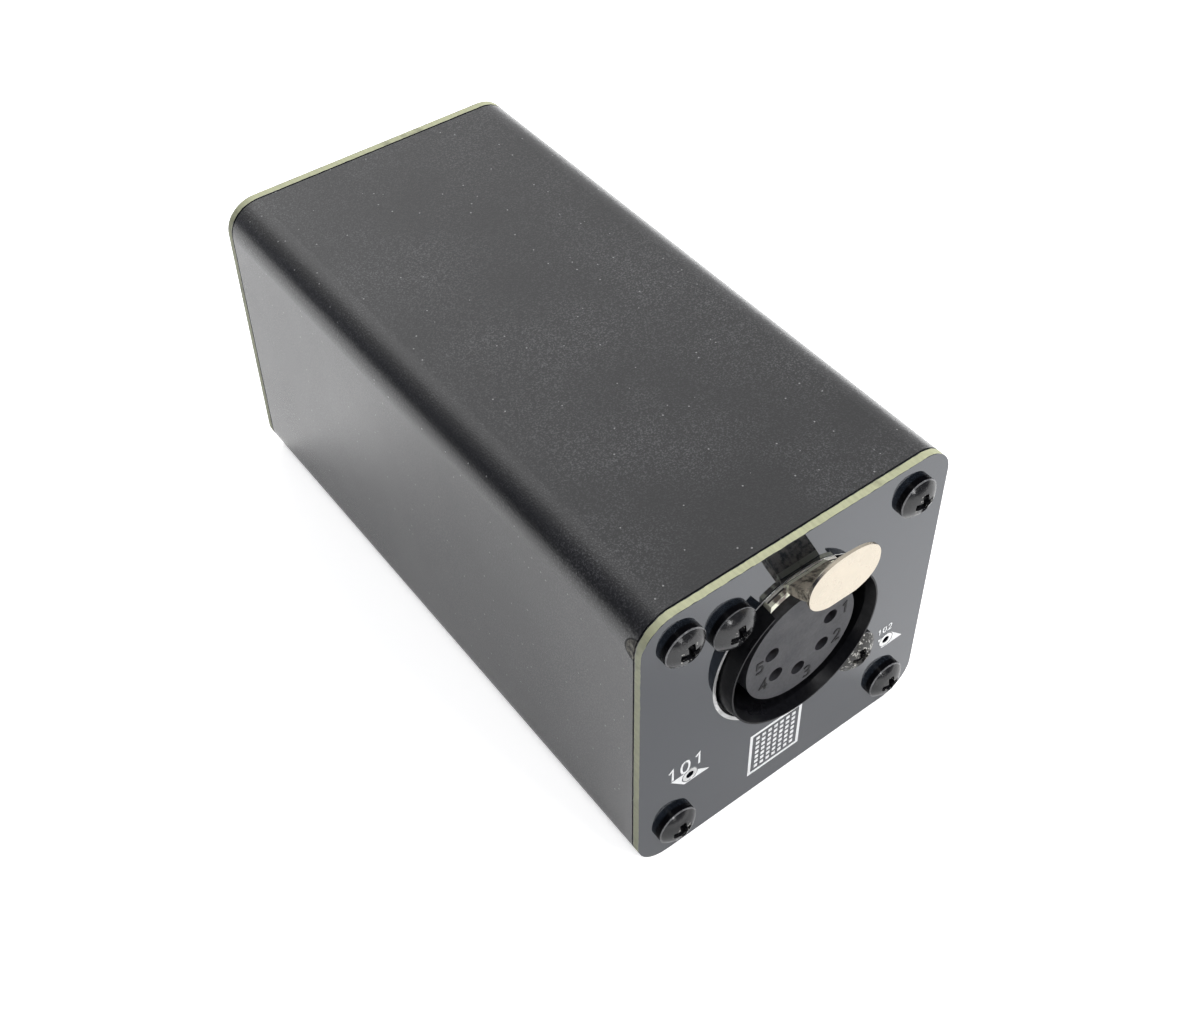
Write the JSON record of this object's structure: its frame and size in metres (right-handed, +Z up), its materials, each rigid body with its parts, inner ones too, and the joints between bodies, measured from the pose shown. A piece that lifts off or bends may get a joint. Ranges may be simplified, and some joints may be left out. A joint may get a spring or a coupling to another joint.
{
  "type": "lighting network node",
  "caption": "Box-shaped stage-lighting network node: extruded tube case, circuit-board end plates, latching round audio-style socket in front, network and power sockets behind.",
  "frame": {"origin": "middle of the tube's underside, halfway between its ends", "axes": "+X to the right seen from the front, +Y towards the rear plate, +Z up"},
  "size_m": [0.042, 0.0915, 0.0441],
  "materials": {
    "case_black": "black anodised, fine satin grain",
    "plate_board": "glass-fibre board, gloss black coating, bare pale edge",
    "screw_black": "black plated, glossy",
    "board_green": "coated circuit board",
    "moulding_black": "moulded, slight sheen",
    "moulding_grey": "moulded, matt",
    "contact_gold": "plated",
    "latch_nickel": "nickel plated casting, softly polished",
    "steel": "drawn wire",
    "tin_sheet": "tinned sheet",
    "lens": "clear moulded lens",
    "chip_black": "moulded package",
    "ferrite": "sintered ceramic"
  },
  "bodies": {
    "case": {"tube": "case_black", "front_plate": "plate_board", "rear_plate": "plate_board", "front_screws": "screw_black", "rear_screws": "screw_black", "main_board": "board_green", "socket_housing": "moulding_black", "contact_carrier": "moulding_grey", "socket_contacts": "contact_gold", "socket_screws": "screw_black", "latch_pin": "steel", "latch_spring": "steel", "signal_light": "lens", "switch_body": "moulding_black", "switch_cover": "tin_sheet", "jack_shield": "tin_sheet", "jack_body": "moulding_black", "jack_contacts": "contact_gold", "jack_lights": "lens", "usb_shell": "tin_sheet", "usb_tongue": "moulding_black", "controller_chip": "chip_black", "network_chip": "chip_black", "network_transformer": "chip_black", "bus_driver": "chip_black", "isolated_supply": "chip_black", "regulator": "chip_black", "power_inductor": "ferrite", "capacitors": "tin_sheet", "crystal": "tin_sheet", "service_header": "moulding_black", "small_parts": "ferrite"},
    "latch": {"socket_latch": "latch_nickel"},
    "button": {"switch_plunger": "moulding_black"}
  },
  "joints": [
    {"name": "latch_press", "type": "hinge", "parent": "case", "child": "latch", "pos_m": [0, -0.0368, 0.0369], "axis": [1, 0, 0], "range_deg": [0, 8], "stiffness_Nm_per_rad": 0.2, "springref_deg": -8.59, "deforming": ["latch_spring"]},
    {"name": "button_press", "type": "slide", "parent": "case", "child": "button", "axis": [0, 1, 0], "range_m": [0, 0.00025], "stiffness_N_per_m": 4000, "springref_m": -0.00015}
  ]
}
